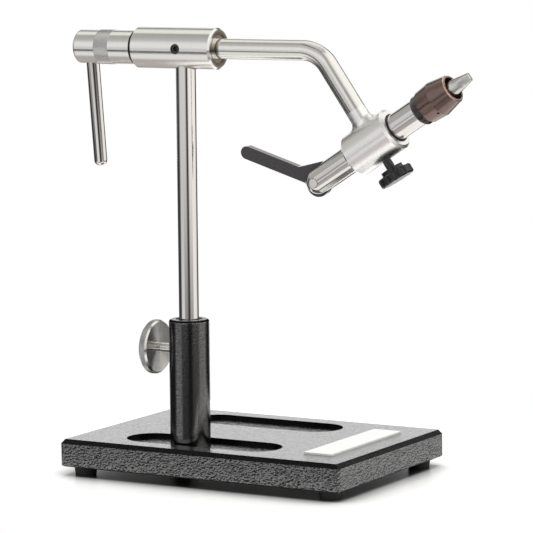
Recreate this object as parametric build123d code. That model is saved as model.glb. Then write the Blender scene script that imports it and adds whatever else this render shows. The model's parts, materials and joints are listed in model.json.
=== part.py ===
from build123d import *
import math
import os

# Fly tying vise on a pedestal base, millimetres, +Z up, +X along the rotary axis towards the jaws.
# The origin lies on the table, under the middle of the base plate.

# Rods and clearances that several pieces share
ROD_RADIUS = 9.525 / 2
FIXED_CLEARANCE = 0.02
RUNNING_CLEARANCE = 0.05
PRESS_GAP = 0.10
CUT_MARGIN = 1.0
EDGE_TOLERANCE = 0.01

# Base plate, feet and strip
PLATE_LENGTH = 150.0
PLATE_DEPTH = 106.0
PLATE_THICKNESS = 13.0
PLATE_TOP_CHAMFER = 2.0
PLATE_BOTTOM_CHAMFER = 0.6
PLATE_CORNER_RADIUS = 2.4
FOOT_HEIGHT = 4.5
FOOT_TOP_RADIUS = 5.5
FOOT_BOTTOM_RADIUS = 5.0
FOOT_INSET = 9.0
POCKET_LENGTH = 81.0
POCKET_WIDTH = 25.0
POCKET_DEPTH = 2.3
POCKET_X = -9.3
POCKET_SPACING = 59.0
STRIP_WIDTH = 14.5
STRIP_LENGTH = 69.0
STRIP_THICKNESS = 0.8
STRIP_X = 54.3

# Column, its bolt and the split liner that grips the post
COLUMN_X = -16.6
COLUMN_RADIUS = 9.5
COLUMN_HEIGHT = 60.3
COLUMN_EDGE_RADIUS = 1.5
COLUMN_BORE_DEPTH = 47.0
LINER_WALL = 1.4
LINER_SLIT = 1.2
LINER_END_GAP = 0.3
BOLT_RADIUS = 4.0
BOLT_HEAD_RADIUS = 6.5
BOLT_HEAD_HEIGHT = 5.0
BOLT_HEAD_RECESS = 0.6
BOLT_GRIP = 10.3
BOLT_HEX = 6.0
BOLT_HEX_DEPTH = 3.0

# Clamp screw on the column
CLAMP_DROP = 14.3
CLAMP_STUD_RADIUS = 2.0
CLAMP_DISC_RADIUS = 12.5
CLAMP_DISC_THICKNESS = 4.2
CLAMP_DISC_CHAMFER = 0.7
CLAMP_DISC_REACH = 16.4

# Post and rotary housing, measured from where the post and the rotary axis meet
AXIS_ABOVE_COLUMN = 126.2
POST_IN_COLUMN = 36.0
POST_SOCKET_DEPTH = 3.6
POST_END_CHAMFER = 0.6
HOUSING_RADIUS = 9.65
HOUSING_LEFT = 25.3
HOUSING_RIGHT = 18.0
HOUSING_CHAMFER = 0.9
HOUSING_BORE_GAP = 0.75
BUSH_WALL = 2.9
BUSH_LENGTH = 9.0
BUSH_RECESS_WALL = 1.0
BUSH_RECESS_DEPTH = 1.6
RING_WALL = 1.55
RING_THICKNESS = 0.9
RING_GAP = 0.3
TENSION_SCREW_RADIUS = 2.35
TENSION_SCREW_LENGTH = 2.4
TENSION_SCREW_RECESS = 0.9
TENSION_HEX = 2.5
TENSION_HEX_DEPTH = 1.3

# Crank hub and handle
HUB_RADIUS = 7.95
HUB_LENGTH = 31.0
HUB_EDGE_RADIUS = 1.2
HUB_GAP = 1.4
WASHER_THICKNESS = 1.2
WASHER_WALL = 2.4
SHAFT_IN_HUB = 19.5
CRANK_RADIUS = 3.175
CRANK_FROM_END = 6.1
CRANK_REACH = 57.0
CRANK_IN_HUB = 11.0
CRANK_TIP_RADIUS = 2.6
SET_SCREW_RADIUS = 1.5
SET_SCREW_LENGTH = 2.6
SET_SCREW_FROM_END = 7.0
SET_SCREW_HEX = 1.5
SET_SCREW_HEX_DEPTH = 1.2

# Bent arm and the collar that carries the jaw tube
ROTOR_TURN = 6.5
ARM_REACH = 70.55
ARM_BEND = 57.85
ARM_BEND_RADIUS = 14.5
ARM_DROP = 48.6
COLLAR_RADIUS = 10.0
COLLAR_LENGTH = 26.0
COLLAR_CHAMFER = 1.2
COLLAR_STUB = 7.0
COLLAR_FILLET = 4.0
SPIGOT_RADIUS = 3.0
SPIGOT_LENGTH = 4.0
COLLAR_LINER_WALL = 0.6
COLLAR_LINER_LIP = 0.3

# Thumbscrew under the collar
KNOB_STUD_RADIUS = 2.0
KNOB_RADIUS = 8.4
KNOB_THICKNESS = 4.2
KNOB_DROP = 15.9
KNOB_LOBES = 12
KNOB_SCALLOP_RADIUS = 1.6
KNOB_SCALLOP_DEPTH = 0.7
KNOB_CHAMFER = 0.6
KNOB_BOSS_RADIUS = 5.3
KNOB_BOSS_HEIGHT = 2.0

# Jaw tube, measured along the jaw axis from the middle of the collar
TUBE_RADIUS = 6.35
PIN_BACK = 35.4
PIN_RADIUS = 2.0
PIN_INSET = 0.25
PIN_SINK_RADIUS = 2.5
PIN_SINK_DEPTH = 0.9
TUBE_FRONT = 38.0
TUBE_BORE_RADIUS = 4.1
TUBE_GUIDE_RADIUS = 3.3
TUBE_GUIDE_START = 0.0
TUBE_GUIDE_LENGTH = 10.0
TUBE_BORE_BACK_GAP = 0.6
SLOT_SIDE_GAP = 0.3
SLOT_END_FROM_COLLAR = 2.5

# Cam lever, measured from its pin
LEVER_THICKNESS = 3.2
LEVER_WIDTH = 6.1
LEVER_LENGTH = 41.6
LEVER_OPEN_ANGLE = 129.7
LEVER_SWING = 75.0
LEVER_ROOT_FILLET = 2.0
CAM_RADIUS = 5.8
CAM_OFFSET = 1.5
CAM_GAP = 0.12
HUMP_FORWARD = 7.0
HUMP_UP = 5.5
HUMP_SLOPE = 18.3
HUMP_LENGTH = 13.0
HUMP_WIDTH = 2.0

# Plunger that the cam drives, and the spring that sends it back
PLUNGER_LAND_LENGTH = 12.0
PLUNGER_CHAMFER = 1.0
PLUNGER_STEM_RADIUS = 2.2
PLUNGER_GUIDE_LEAD = 3.0
PLUNGER_GUIDE_OVERHANG = 2.0
NOSE_RADIUS = 2.2
NOSE_TIP_RADIUS = 1.3
NOSE_CONE_LENGTH = 7.0
NOSE_REACH = 31.0
SPRING_WIRE_RADIUS = 0.4
SPRING_INNER_GAP = 0.35
SPRING_TURNS = 8
SPRING_SEAT_GAP = 0.3
SPRING_GAP_POINTS = 24

# Adjusting sleeve
SLEEVE_BACK = 27.8
SLEEVE_LENGTH = 20.2
SLEEVE_BAND_LENGTH = 3.4
SLEEVE_BAND_RADIUS = 7.1
SLEEVE_GROOVE_WIDTH = 0.6
SLEEVE_GROOVE_DEPTH = 0.25
SLEEVE_SHOULDER_RADIUS = 7.9
SLEEVE_BELLY_RADIUS = 8.5
SLEEVE_BELLY_FROM_BAND = 7.1
SLEEVE_FRONT_RADIUS = 6.8
SLEEVE_EDGE = 0.5
SLEEVE_MOUTH_RADIUS = 5.6
SLEEVE_MOUTH_LENGTH = 6.3
SLEEVE_HOLE_RADIUS = 0.6
SLEEVE_HOLE_DEPTH = 1.6
SLEEVE_HOLE_FROM_BACK = 10.3
SLEEVE_HOLE_TURN = 46.0

# Two jaw halves
JAW_TIP = 58.1
JAW_GAP = 0.6
JAW_TAIL_RADIUS = 3.5
JAW_TAIL_LENGTH = 14.0
JAW_FLANGE_RADIUS = 6.1
JAW_FLANGE_LENGTH = 2.6
JAW_FLANGE_GAP = 0.4
JAW_NECK_RADIUS = 4.1
JAW_TAPER_LENGTH = 11.5
JAW_TIP_RADIUS = 1.95
JAW_TIP_WIDTH = 2.6
JAW_CAVITY_GAP = 0.35

# Places worked out from the sizes above
PLATE_BOTTOM = FOOT_HEIGHT
PLATE_TOP = PLATE_BOTTOM + PLATE_THICKNESS
POCKET_FLOOR = PLATE_TOP - POCKET_DEPTH
COLUMN_Y = -POCKET_SPACING / 2
COLUMN_TOP = POCKET_FLOOR + COLUMN_HEIGHT
AXIS_HEIGHT = COLUMN_TOP + AXIS_ABOVE_COLUMN
POST_LINER_INNER = ROD_RADIUS + RUNNING_CLEARANCE
POST_LINER_OUTER = POST_LINER_INNER + LINER_WALL
HOUSING_BORE = ROD_RADIUS + HOUSING_BORE_GAP
BUSH_RADIUS = ROD_RADIUS + RUNNING_CLEARANCE + BUSH_WALL
HUB_RIGHT = -HOUSING_LEFT - HUB_GAP
HUB_LEFT = HUB_RIGHT - HUB_LENGTH
SHAFT_END = HUB_RIGHT - SHAFT_IN_HUB
CRANK_X = HUB_LEFT + CRANK_FROM_END
COLLAR_LINER_INNER = TUBE_RADIUS + RUNNING_CLEARANCE
COLLAR_LINER_OUTER = COLLAR_LINER_INNER + COLLAR_LINER_WALL
STUB_TOP = COLLAR_RADIUS + COLLAR_STUB
SLOT_WIDTH = LEVER_THICKNESS + 2 * SLOT_SIDE_GAP
SLOT_END = -COLLAR_LENGTH / 2 - SLOT_END_FROM_COLLAR
CAM_REST_ANGLE = -90.0 - LEVER_SWING / 2
CAM_CENTRE_X = CAM_OFFSET * math.cos(math.radians(CAM_REST_ANGLE))
CAM_CENTRE_Z = CAM_OFFSET * math.sin(math.radians(CAM_REST_ANGLE))
PLUNGER_BACK = -PIN_BACK + CAM_RADIUS + CAM_CENTRE_X + CAM_GAP
PLUNGER_LAND_RADIUS = TUBE_BORE_RADIUS - RUNNING_CLEARANCE
PLUNGER_LAND_FRONT = PLUNGER_BACK + PLUNGER_LAND_LENGTH
PLUNGER_GUIDE_RADIUS = TUBE_GUIDE_RADIUS - RUNNING_CLEARANCE
PLUNGER_GUIDE_BACK = TUBE_GUIDE_START + PLUNGER_GUIDE_LEAD
PLUNGER_GUIDE_FRONT = TUBE_GUIDE_START + TUBE_GUIDE_LENGTH + PLUNGER_GUIDE_OVERHANG
SPRING_RADIUS = PLUNGER_STEM_RADIUS + SPRING_INNER_GAP + SPRING_WIRE_RADIUS
SPRING_BACK = PLUNGER_LAND_FRONT + SPRING_SEAT_GAP + SPRING_WIRE_RADIUS
SPRING_FRONT = TUBE_GUIDE_START - SPRING_SEAT_GAP - SPRING_WIRE_RADIUS
SPRING_PITCH = (SPRING_FRONT - SPRING_BACK) / SPRING_TURNS
JAW_FLANGE_BACK = TUBE_FRONT + JAW_FLANGE_GAP
JAW_FLANGE_FRONT = JAW_FLANGE_BACK + JAW_FLANGE_LENGTH
JAW_TAIL_BACK = JAW_FLANGE_BACK - JAW_TAIL_LENGTH
SLEEVE_FRONT = SLEEVE_BACK + SLEEVE_LENGTH

# Frames: the rotor turns about X through the head, and the jaw axis rises square to the arm
HEAD_AT = Pos(COLUMN_X, COLUMN_Y, AXIS_HEIGHT)
ROTOR_AT = HEAD_AT * Rot(ROTOR_TURN, 0, 0)
ARM_DOWN = Vector(math.cos(math.radians(ARM_BEND)), 0, -math.sin(math.radians(ARM_BEND)))
COLLAR_CENTRE = Vector(ARM_REACH, 0, 0) + ARM_DOWN * ARM_DROP
JAW_AT = ROTOR_AT * Pos(COLLAR_CENTRE) * Rot(0, ARM_BEND - 90, 0)
COLUMN_AT = Pos(COLUMN_X, COLUMN_Y, 0)
ON_BASE = (Align.CENTER, Align.CENTER, Align.MIN)


def rod_z(radius, start, end):
    """Round bar along Z between two heights."""
    return Pos(0, 0, start) * Cylinder(radius, end - start, align=ON_BASE)


def rod_x(radius, start, end):
    """Round bar along X between two places."""
    return Pos(start, 0, 0) * Rot(0, 90, 0) * Cylinder(radius, end - start, align=ON_BASE)


def rod_y(radius, start, end):
    """Round bar along Y between two places."""
    return Pos(0, start, 0) * Rot(-90, 0, 0) * Cylinder(radius, end - start, align=ON_BASE)


def turned_x(points):
    """Solid turned about X from an outline of (place along X, radius) points."""
    return revolve(make_face(Polyline(points, close=True)), Axis.X)


def hex_socket(across, depth):
    """Six-sided recess that goes down from the origin."""
    return extrude(RegularPolygon(across / 2, 6, major_radius=False), -depth)


def end_edges(solid, axis, place):
    """Round edges of a solid that lie at one place along an axis."""
    low = place - EDGE_TOLERANCE
    high = place + EDGE_TOLERANCE
    return solid.edges().filter_by(GeomType.CIRCLE).filter_by_position(axis, low, high)


def make_base_plate():
    """Thick plate with a chamfered top, two long pockets and the bolt's counterbore."""
    plate = Pos(0, 0, PLATE_BOTTOM) * Box(PLATE_LENGTH, PLATE_DEPTH, PLATE_THICKNESS, align=ON_BASE)
    plate = fillet(plate.edges().filter_by(Axis.Z), PLATE_CORNER_RADIUS)
    plate = chamfer(plate.faces().sort_by(Axis.Z)[-1].edges(), PLATE_TOP_CHAMFER)
    plate = chamfer(plate.faces().sort_by(Axis.Z)[0].edges(), PLATE_BOTTOM_CHAMFER)
    for side in (-1, 1):
        outline = Pos(POCKET_X, side * POCKET_SPACING / 2, PLATE_TOP) * SlotOverall(POCKET_LENGTH, POCKET_WIDTH)
        plate -= extrude(outline, -POCKET_DEPTH)
    head_top = PLATE_BOTTOM + BOLT_HEAD_RECESS + BOLT_HEAD_HEIGHT
    plate -= COLUMN_AT * rod_z(BOLT_HEAD_RADIUS + PRESS_GAP, PLATE_BOTTOM, head_top)
    plate -= COLUMN_AT * rod_z(BOLT_RADIUS + PRESS_GAP, PLATE_BOTTOM, PLATE_TOP)
    return plate


def make_foot(side_x, side_y):
    """Tapered rubber foot at one corner."""
    place_x = side_x * (PLATE_LENGTH / 2 - FOOT_INSET)
    place_y = side_y * (PLATE_DEPTH / 2 - FOOT_INSET)
    return Pos(place_x, place_y, 0) * Cone(FOOT_BOTTOM_RADIUS, FOOT_TOP_RADIUS, FOOT_HEIGHT, align=ON_BASE)


def make_base_strip():
    """Thin white strip laid across the plate."""
    return Pos(STRIP_X, 0, PLATE_TOP) * Box(STRIP_WIDTH, STRIP_LENGTH, STRIP_THICKNESS, align=ON_BASE)


def make_column():
    """Round column with a blind bore for the liner, a tapped foot and a hole for the clamp screw."""
    column = rod_z(COLUMN_RADIUS, POCKET_FLOOR, COLUMN_TOP)
    column = fillet(end_edges(column, Axis.Z, COLUMN_TOP), COLUMN_EDGE_RADIUS)
    column -= rod_z(POST_LINER_OUTER + RUNNING_CLEARANCE, COLUMN_TOP - COLUMN_BORE_DEPTH, COLUMN_TOP)
    column -= rod_z(BOLT_RADIUS + FIXED_CLEARANCE, POCKET_FLOOR, POCKET_FLOOR + BOLT_GRIP + CUT_MARGIN)
    clamp_hole = rod_x(CLAMP_STUD_RADIUS + RUNNING_CLEARANCE, -COLUMN_RADIUS - CUT_MARGIN, 0)
    column -= Pos(0, 0, COLUMN_TOP - CLAMP_DROP) * clamp_hole
    return COLUMN_AT * column


def make_column_bolt():
    """Socket screw that holds the column from under the plate."""
    head_bottom = PLATE_BOTTOM + BOLT_HEAD_RECESS
    bolt = rod_z(BOLT_HEAD_RADIUS, head_bottom, head_bottom + BOLT_HEAD_HEIGHT)
    bolt += rod_z(BOLT_RADIUS, head_bottom, POCKET_FLOOR + BOLT_GRIP)
    bolt -= Pos(0, 0, head_bottom + BOLT_HEX_DEPTH) * hex_socket(BOLT_HEX, BOLT_HEX_DEPTH)
    return COLUMN_AT * bolt


def make_post_liner():
    """Split sleeve in the column's bore; it turns in the column and the post slides in it."""
    bottom = COLUMN_TOP - COLUMN_BORE_DEPTH + LINER_END_GAP
    top = COLUMN_TOP - LINER_END_GAP
    liner = rod_z(POST_LINER_OUTER, bottom, top) - rod_z(POST_LINER_INNER, bottom, top)
    slit = Pos(0, 0, bottom) * Box(POST_LINER_OUTER, LINER_SLIT, top - bottom,
                                   align=(Align.MIN, Align.CENTER, Align.MIN))
    return COLUMN_AT * (liner - slit)


def make_clamp_stud():
    """Plain stud of the column's thumbscrew, up to the liner."""
    tip = -POST_LINER_OUTER - PRESS_GAP
    end = -CLAMP_DISC_REACH - CLAMP_DISC_THICKNESS
    return COLUMN_AT * Pos(0, 0, COLUMN_TOP - CLAMP_DROP) * rod_x(CLAMP_STUD_RADIUS, end, tip)


def make_clamp_knob():
    """Large turned disc on the stud."""
    inner_face = -CLAMP_DISC_REACH
    outer_face = inner_face - CLAMP_DISC_THICKNESS
    disc = rod_x(CLAMP_DISC_RADIUS, outer_face, inner_face)
    disc = chamfer(disc.edges().filter_by(GeomType.CIRCLE), CLAMP_DISC_CHAMFER)
    disc -= rod_x(CLAMP_STUD_RADIUS + FIXED_CLEARANCE, outer_face, inner_face)
    return COLUMN_AT * Pos(0, 0, COLUMN_TOP - CLAMP_DROP) * disc


def make_post():
    """Ground rod from the column up into the housing's socket."""
    top = AXIS_HEIGHT - HOUSING_RADIUS + POST_SOCKET_DEPTH
    bottom = COLUMN_TOP - POST_IN_COLUMN
    post = rod_z(ROD_RADIUS, bottom, top)
    post = chamfer(end_edges(post, Axis.Z, bottom), POST_END_CHAMFER)
    return COLUMN_AT * post


def make_rotary_housing():
    """Round housing bored for the shaft, with bush seats, the post's socket and the tension screw's hole."""
    housing = rod_x(HOUSING_RADIUS, -HOUSING_LEFT, HOUSING_RIGHT)
    housing = chamfer(housing.edges().filter_by(GeomType.CIRCLE), HOUSING_CHAMFER)
    housing -= rod_x(HOUSING_BORE, -HOUSING_LEFT, HOUSING_RIGHT)
    seat = BUSH_RADIUS + FIXED_CLEARANCE
    housing -= rod_x(seat, -HOUSING_LEFT, -HOUSING_LEFT + BUSH_LENGTH)
    housing -= rod_x(seat, HOUSING_RIGHT - BUSH_LENGTH, HOUSING_RIGHT)
    socket_top = -HOUSING_RADIUS + POST_SOCKET_DEPTH
    housing -= rod_z(ROD_RADIUS + FIXED_CLEARANCE, -HOUSING_RADIUS - CUT_MARGIN, socket_top)
    housing -= rod_y(TENSION_SCREW_RADIUS + RUNNING_CLEARANCE, -HOUSING_RADIUS - CUT_MARGIN, 0)
    return HEAD_AT * housing


def make_front_bush():
    """Bronze bush at the jaw end, dished for the retaining ring."""
    bush = rod_x(BUSH_RADIUS, HOUSING_RIGHT - BUSH_LENGTH, HOUSING_RIGHT)
    bush -= rod_x(BUSH_RADIUS - BUSH_RECESS_WALL, HOUSING_RIGHT - BUSH_RECESS_DEPTH, HOUSING_RIGHT)
    bush -= rod_x(ROD_RADIUS + RUNNING_CLEARANCE, HOUSING_RIGHT - BUSH_LENGTH, HOUSING_RIGHT)
    return HEAD_AT * bush


def make_rear_bush():
    """Bronze bush at the crank end."""
    bush = rod_x(BUSH_RADIUS, -HOUSING_LEFT, -HOUSING_LEFT + BUSH_LENGTH)
    bush -= rod_x(ROD_RADIUS + RUNNING_CLEARANCE, -HOUSING_LEFT, -HOUSING_LEFT + BUSH_LENGTH)
    return HEAD_AT * bush


def make_tension_screw():
    """Grub screw in the housing that sets how hard the rotor turns."""
    outer = -HOUSING_RADIUS + TENSION_SCREW_RECESS
    screw = rod_y(TENSION_SCREW_RADIUS, outer, outer + TENSION_SCREW_LENGTH)
    screw -= Pos(0, outer, 0) * Rot(90, 0, 0) * hex_socket(TENSION_HEX, TENSION_HEX_DEPTH)
    return HEAD_AT * screw


def make_tension_pad():
    """Soft pad between the grub screw and the shaft, hollowed to the shaft."""
    start = -HOUSING_RADIUS + TENSION_SCREW_RECESS + TENSION_SCREW_LENGTH + PRESS_GAP
    pad = rod_y(TENSION_SCREW_RADIUS, start, 0)
    pad -= rod_x(ROD_RADIUS + RUNNING_CLEARANCE, -HOUSING_LEFT, HOUSING_RIGHT)
    return HEAD_AT * pad


def make_bent_arm():
    """Shaft that runs through the housing, bends down and ends in a spigot for the collar."""
    stub_joint = Vector(ARM_REACH, 0, 0) + ARM_DOWN * (ARM_DROP - STUB_TOP)
    path = FilletPolyline((SHAFT_END, 0, 0), (ARM_REACH, 0, 0), stub_joint, radius=ARM_BEND_RADIUS)
    arm = sweep(Plane(origin=path @ 0, z_dir=path % 0) * Circle(ROD_RADIUS), path)
    spigot_plane = Plane(origin=stub_joint, z_dir=ARM_DOWN)
    arm += extrude(spigot_plane * Circle(SPIGOT_RADIUS), SPIGOT_LENGTH)
    return ROTOR_AT * arm


def make_jaw_collar():
    """Collar with a stub that blends into the arm, bored for the liner and the thumbscrew."""
    collar = rod_x(COLLAR_RADIUS, -COLLAR_LENGTH / 2, COLLAR_LENGTH / 2)
    collar = chamfer(collar.edges().filter_by(GeomType.CIRCLE), COLLAR_CHAMFER)
    before = collar.edges()
    collar += rod_z(ROD_RADIUS, 0, STUB_TOP)
    blend = [e for e in collar.edges() - before if e.center().Z < STUB_TOP - CUT_MARGIN]
    blend = [e for e in blend if e.geom_type != GeomType.LINE]
    collar = fillet(blend, COLLAR_FILLET)
    collar -= rod_x(COLLAR_LINER_OUTER + RUNNING_CLEARANCE, -COLLAR_LENGTH / 2, COLLAR_LENGTH / 2)
    collar -= rod_z(SPIGOT_RADIUS + FIXED_CLEARANCE, STUB_TOP - SPIGOT_LENGTH, STUB_TOP)
    collar -= rod_z(KNOB_STUD_RADIUS + RUNNING_CLEARANCE, -COLLAR_RADIUS - CUT_MARGIN, 0)
    return JAW_AT * collar


def make_retaining_ring():
    """Ring on the shaft, sunk in the front bush, that keeps the rotor from sliding out."""
    back = HOUSING_RIGHT - BUSH_RECESS_DEPTH + RING_GAP
    ring = rod_x(ROD_RADIUS + FIXED_CLEARANCE + RING_WALL, back, back + RING_THICKNESS)
    return ROTOR_AT * (ring - rod_x(ROD_RADIUS + FIXED_CLEARANCE, back, back + RING_THICKNESS))


def make_thrust_washer():
    """Washer between the crank hub and the housing."""
    washer = rod_x(ROD_RADIUS + FIXED_CLEARANCE + WASHER_WALL, HUB_RIGHT, HUB_RIGHT + WASHER_THICKNESS)
    washer -= rod_x(ROD_RADIUS + FIXED_CLEARANCE, HUB_RIGHT, HUB_RIGHT + WASHER_THICKNESS)
    return ROTOR_AT * washer


def make_crank_hub():
    """Hub on the shaft's end, cross-drilled for the crank handle and a set screw."""
    hub = rod_x(HUB_RADIUS, HUB_LEFT, HUB_RIGHT)
    hub = fillet(end_edges(hub, Axis.X, HUB_LEFT), HUB_EDGE_RADIUS)
    hub -= rod_x(ROD_RADIUS + FIXED_CLEARANCE, SHAFT_END, HUB_RIGHT)
    handle_top = -HUB_RADIUS + CRANK_IN_HUB
    hub -= Pos(CRANK_X, 0, 0) * rod_z(CRANK_RADIUS + FIXED_CLEARANCE, -HUB_RADIUS - CUT_MARGIN, handle_top)
    screw_hole = rod_y(SET_SCREW_RADIUS + FIXED_CLEARANCE, 0, HUB_RADIUS + CUT_MARGIN)
    hub -= Pos(HUB_RIGHT - SET_SCREW_FROM_END, 0, 0) * screw_hole
    return ROTOR_AT * hub


def make_hub_set_screw():
    """Grub screw that locks the hub to the shaft, on the far side."""
    start = ROD_RADIUS + PRESS_GAP
    screw = rod_y(SET_SCREW_RADIUS, start, start + SET_SCREW_LENGTH)
    socket = hex_socket(SET_SCREW_HEX, SET_SCREW_HEX_DEPTH)
    screw -= Pos(0, start + SET_SCREW_LENGTH, 0) * Rot(-90, 0, 0) * socket
    return ROTOR_AT * Pos(HUB_RIGHT - SET_SCREW_FROM_END, 0, 0) * screw


def make_crank_handle():
    """Plain rod pressed into the hub, rounded at its free end."""
    handle = rod_z(CRANK_RADIUS, -CRANK_REACH, -HUB_RADIUS + CRANK_IN_HUB)
    handle = fillet(end_edges(handle, Axis.Z, -CRANK_REACH), CRANK_TIP_RADIUS)
    return ROTOR_AT * Pos(CRANK_X, 0, 0) * handle


def make_knob_stud():
    """Stud of the collar's thumbscrew, up to the liner."""
    stud = rod_z(KNOB_STUD_RADIUS, -KNOB_DROP - KNOB_THICKNESS / 2, -COLLAR_LINER_OUTER - PRESS_GAP)
    return JAW_AT * stud


def make_collar_knob():
    """Scalloped knob with a boss towards the collar."""
    outline = Circle(KNOB_RADIUS)
    scallop_at = KNOB_RADIUS + KNOB_SCALLOP_RADIUS - KNOB_SCALLOP_DEPTH
    outline -= PolarLocations(scallop_at, KNOB_LOBES) * Circle(KNOB_SCALLOP_RADIUS)
    knob = extrude(outline, -KNOB_THICKNESS)
    rims = knob.faces().filter_by(Axis.Z)
    knob = chamfer(rims[0].edges() + rims[1].edges(), KNOB_CHAMFER)
    knob += rod_z(KNOB_BOSS_RADIUS, 0, KNOB_BOSS_HEIGHT)
    knob -= rod_z(KNOB_STUD_RADIUS + FIXED_CLEARANCE, -KNOB_THICKNESS / 2, KNOB_BOSS_HEIGHT)
    return JAW_AT * Pos(0, 0, -KNOB_DROP) * knob


def make_collar_liner():
    """Dark split sleeve in the collar; it turns in the collar and the jaw tube slides in it."""
    half = COLLAR_LENGTH / 2 + COLLAR_LINER_LIP
    liner = rod_x(COLLAR_LINER_OUTER, -half, half) - rod_x(COLLAR_LINER_INNER, -half, half)
    slit = Box(2 * half, LINER_SLIT, COLLAR_LINER_OUTER, align=(Align.CENTER, Align.CENTER, Align.MIN))
    return JAW_AT * (liner - slit)


def make_jaw_tube():
    """Ball-ended tube with a sunk pin hole, slotted for the lever and bored for the plunger, spring and jaw tails."""
    tube = rod_x(TUBE_RADIUS, -PIN_BACK, TUBE_FRONT) + Pos(-PIN_BACK, 0, 0) * Sphere(TUBE_RADIUS)
    tube -= rod_x(TUBE_BORE_RADIUS, PLUNGER_BACK - TUBE_BORE_BACK_GAP, TUBE_GUIDE_START)
    tube -= rod_x(TUBE_GUIDE_RADIUS, TUBE_GUIDE_START, TUBE_FRONT)
    tube -= rod_x(TUBE_BORE_RADIUS, TUBE_GUIDE_START + TUBE_GUIDE_LENGTH, TUBE_FRONT)
    slot_back = -PIN_BACK - TUBE_RADIUS - SLOT_WIDTH
    slot = Pos((slot_back + SLOT_END) / 2, 0, 0) * SlotOverall(SLOT_END - slot_back, SLOT_WIDTH)
    tube -= extrude(slot, TUBE_RADIUS + CUT_MARGIN, both=True)
    tube -= Pos(-PIN_BACK, 0, 0) * rod_y(PIN_RADIUS + FIXED_CLEARANCE, -TUBE_RADIUS, TUBE_RADIUS)
    sink = rod_y(PIN_SINK_RADIUS, TUBE_RADIUS - PIN_SINK_DEPTH, TUBE_RADIUS + CUT_MARGIN)
    for turn in (0, 180):
        tube -= Pos(-PIN_BACK, 0, 0) * Rot(0, 0, turn) * sink
    return JAW_AT * tube


def make_lever_pin():
    """Pin across the tube's tail."""
    half = TUBE_RADIUS - PIN_INSET
    return JAW_AT * Pos(-PIN_BACK, 0, 0) * rod_y(PIN_RADIUS, -half, half)


def round_bar(reach, width):
    """Outline of a round-ended bar from a centre at the origin to a centre along X."""
    return Pos(reach / 2, 0) * SlotCenterToCenter(reach, width)


def make_cam_lever():
    """Flat lever with an eccentric cam round its pin and a sloping hump, drawn in its open place."""
    outline = Rot(0, 0, LEVER_OPEN_ANGLE) * round_bar(LEVER_LENGTH - LEVER_WIDTH / 2, LEVER_WIDTH)
    outline += Pos(HUMP_FORWARD, HUMP_UP) * Rot(0, 0, 180 - HUMP_SLOPE) * round_bar(HUMP_LENGTH, HUMP_WIDTH)
    outline += Pos(CAM_CENTRE_X, CAM_CENTRE_Z) * Circle(CAM_RADIUS)
    outline = offset(offset(outline, LEVER_ROOT_FILLET), -LEVER_ROOT_FILLET)
    outline -= Circle(PIN_RADIUS + RUNNING_CLEARANCE)
    return JAW_AT * Pos(-PIN_BACK, 0, 0) * extrude(Plane.XZ * outline, LEVER_THICKNESS / 2, both=True)


def make_plunger():
    """Plunger from the cam to the jaws, with a cone that spreads the jaw tails."""
    outline = [
        (PLUNGER_BACK, 0),
        (PLUNGER_BACK, PLUNGER_LAND_RADIUS - PLUNGER_CHAMFER),
        (PLUNGER_BACK + PLUNGER_CHAMFER, PLUNGER_LAND_RADIUS),
        (PLUNGER_LAND_FRONT, PLUNGER_LAND_RADIUS),
        (PLUNGER_LAND_FRONT, PLUNGER_STEM_RADIUS),
        (PLUNGER_GUIDE_BACK, PLUNGER_STEM_RADIUS),
        (PLUNGER_GUIDE_BACK, PLUNGER_GUIDE_RADIUS),
        (PLUNGER_GUIDE_FRONT, PLUNGER_GUIDE_RADIUS),
        (PLUNGER_GUIDE_FRONT, NOSE_RADIUS),
        (NOSE_REACH - NOSE_CONE_LENGTH, NOSE_RADIUS),
        (NOSE_REACH, NOSE_TIP_RADIUS),
        (NOSE_REACH, 0),
    ]
    return JAW_AT * turned_x(outline)


def spring_point(turn):
    """Place on the spring's helix after a number of turns."""
    angle = 2 * math.pi * turn
    along = SPRING_BACK + SPRING_PITCH * turn
    return Vector(along, SPRING_RADIUS * math.cos(angle), SPRING_RADIUS * math.sin(angle))


def spring_direction(turn):
    """Direction of the spring's helix after a number of turns."""
    angle = 2 * math.pi * turn
    round_about = 2 * math.pi * SPRING_RADIUS
    return Vector(SPRING_PITCH, -round_about * math.sin(angle), round_about * math.cos(angle)).normalized()


def biarc(start, start_direction, end, end_direction):
    """Two arcs that meet smoothly and join two places with given directions."""
    chord = end - start
    along = chord.dot(start_direction + end_direction)
    spread = 2 * (1 - start_direction.dot(end_direction))
    reach = (math.sqrt(along * along + spread * chord.dot(chord)) - along) / spread
    first_corner = start + start_direction * reach
    last_corner = end - end_direction * reach
    middle = (first_corner + last_corner) * 0.5
    return [
        TangentArc(start, middle, tangent=start_direction),
        TangentArc(middle, end, tangent=last_corner - first_corner),
    ]


def spring_self_gap():
    """Least gap between neighbouring turns of the spring, measured on points."""
    points = [spring_point(k / SPRING_GAP_POINTS) for k in range(SPRING_TURNS * SPRING_GAP_POINTS + 1)]
    near = range(SPRING_GAP_POINTS // 2, 2 * SPRING_GAP_POINTS)
    distances = [(points[k + j] - points[k]).length for j in near for k in range(len(points) - j)]
    return min(distances) - 2 * SPRING_WIRE_RADIUS


def make_return_spring():
    """Coil spring round the plunger's stem, one unbroken wire."""
    arcs = []
    for half in range(2 * SPRING_TURNS):
        start = half / 2
        end = start + 1 / 2
        arcs += biarc(spring_point(start), spring_direction(start), spring_point(end), spring_direction(end))
    path = Wire(arcs)
    wire = sweep(Plane(origin=path @ 0, z_dir=path % 0) * Circle(SPRING_WIRE_RADIUS), path)
    return JAW_AT * wire


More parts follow.
